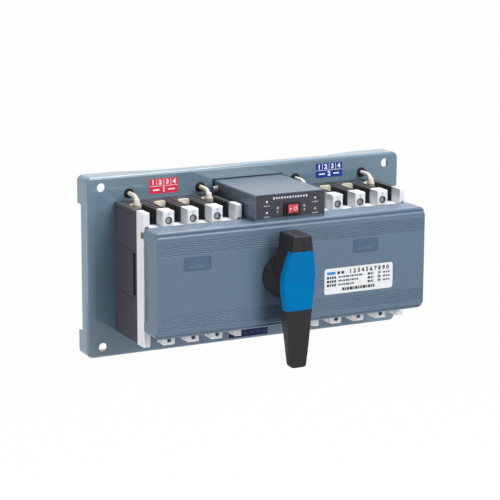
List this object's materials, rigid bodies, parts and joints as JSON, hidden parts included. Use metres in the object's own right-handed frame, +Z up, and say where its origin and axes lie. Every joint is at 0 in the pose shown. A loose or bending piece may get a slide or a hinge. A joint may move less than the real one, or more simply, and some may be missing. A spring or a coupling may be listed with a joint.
{
  "type": "transfer switch",
  "caption": "Two-source transfer switch: paired moulded-case breakers on a formed steel pan, driven through racks by one front lever, with a small control box.",
  "frame": {"origin": "middle of the four mounting holes, on the front face of the pan", "axes": "+X to the right seen from the front, +Z up the panel, front faces -Y"},
  "size_m": [0.403, 0.187, 0.2076],
  "materials": {
    "pan_paint": "gloss",
    "cover_plastic": "gloss",
    "box_paint": "gloss",
    "breaker_black": "moulded",
    "breaker_white": "satin",
    "toggle_black": "moulded",
    "terminal_brass": "tinned",
    "zinc_steel": "zinc plated",
    "steel": "galvanised",
    "cast_alloy": "die cast",
    "motor_can": "satin",
    "brass": "bright",
    "rubber_black": "matte",
    "wire_sleeve": "satin",
    "lug_tin": "tinned",
    "handle_black": "moulded",
    "insert_blue": "satin",
    "panel_dark": "textured",
    "rocker_red": "gloss",
    "lamp_lens": "clear",
    "board_green": "solder resist",
    "core_steel": "laminated",
    "relay_case": "satin",
    "connector_grey": "moulded"
  },
  "bodies": {
    "frame_body": {"aux_terminal_block": "handle_black", "aux_terminal_screws": "zinc_steel", "base_pan": "pan_paint", "board_connector": "connector_grey", "board_relays": "relay_case", "board_transformer": "core_steel", "box_bottom": "box_paint", "box_shell": "box_paint", "circuit_board": "board_green", "control_panel": "panel_dark", "cover_clips": "brass", "cover_screws": "zinc_steel", "front_cover": "cover_plastic", "fuse_cap": "brass", "fuse_holder": "connector_grey", "gear_motor": "motor_can", "gearbox_housing": "cast_alloy", "gearbox_screws": "zinc_steel", "guide_screws": "zinc_steel", "indicator_lamps": "lamp_lens", "left_breaker_base": "breaker_black", "left_breaker_cover": "breaker_white", "left_line_terminals": "terminal_brass", "left_load_terminals": "terminal_brass", "left_post_screws": "zinc_steel", "left_sensing_wires": "wire_sleeve", "left_terminal_screws": "zinc_steel", "limit_switches": "toggle_black", "mechanism_plate": "steel", "plate_screws": "zinc_steel", "plate_standoffs": "zinc_steel", "rear_screws": "zinc_steel", "right_breaker_base": "breaker_black", "right_breaker_cover": "breaker_white", "right_line_terminals": "terminal_brass", "right_load_terminals": "terminal_brass", "right_post_screws": "zinc_steel", "right_sensing_wires": "wire_sleeve", "right_terminal_screws": "zinc_steel", "ring_lugs": "lug_tin", "rocker_frame": "handle_black", "shaft_bush": "brass", "wire_bush": "rubber_black", "wire_grommets": "rubber_black"},
    "handle": {"handle_body": "handle_black", "handle_insert": "insert_blue", "handle_screw": "zinc_steel", "handle_shaft": "steel", "drive_pinion": "steel"},
    "left_slide": {"left_drive_slide": "steel"},
    "right_slide": {"right_drive_slide": "steel"},
    "left_lever": {"left_toggle": "toggle_black"},
    "right_lever": {"right_toggle": "toggle_black"},
    "rocker_key": {"rocker": "rocker_red"}
  },
  "joints": [
    {"name": "handle_turn", "type": "hinge", "parent": "frame_body", "child": "handle", "pos_m": [-0.01475, 0, 0], "axis": [0, -1, 0], "range_deg": [0, 90]},
    {"name": "left_slide_travel", "type": "slide", "parent": "frame_body", "child": "left_slide", "axis": [0, 0, -1], "range_m": [0, 0.02356]},
    {"name": "right_slide_travel", "type": "slide", "parent": "frame_body", "child": "right_slide", "axis": [0, 0, 1], "range_m": [0, 0.02356]},
    {"name": "left_toggle_swing", "type": "hinge", "parent": "frame_body", "child": "left_lever", "pos_m": [-0.12055, -0.05, 0], "axis": [1, 0, 0], "range_deg": [0, 33.62]},
    {"name": "right_toggle_swing", "type": "hinge", "parent": "frame_body", "child": "right_lever", "pos_m": [0.09105, -0.05, 0], "axis": [-1, 0, 0], "range_deg": [0, 33.62]},
    {"name": "rocker_tip", "type": "hinge", "parent": "frame_body", "child": "rocker_key", "pos_m": [0.002, -0.099, 0.071], "axis": [0, 0, -1], "range_deg": [0, 16]}
  ],
  "couplings": [
    {"joint": "handle_turn", "follows": "left_slide_travel", "rad_per_m": 66.667},
    {"joint": "right_slide_travel", "follows": "left_slide_travel", "ratio": 1},
    {"joint": "left_toggle_swing", "follows": "left_slide_travel", "rad_per_m": 24.901},
    {"joint": "right_toggle_swing", "follows": "left_slide_travel", "rad_per_m": 24.901}
  ]
}
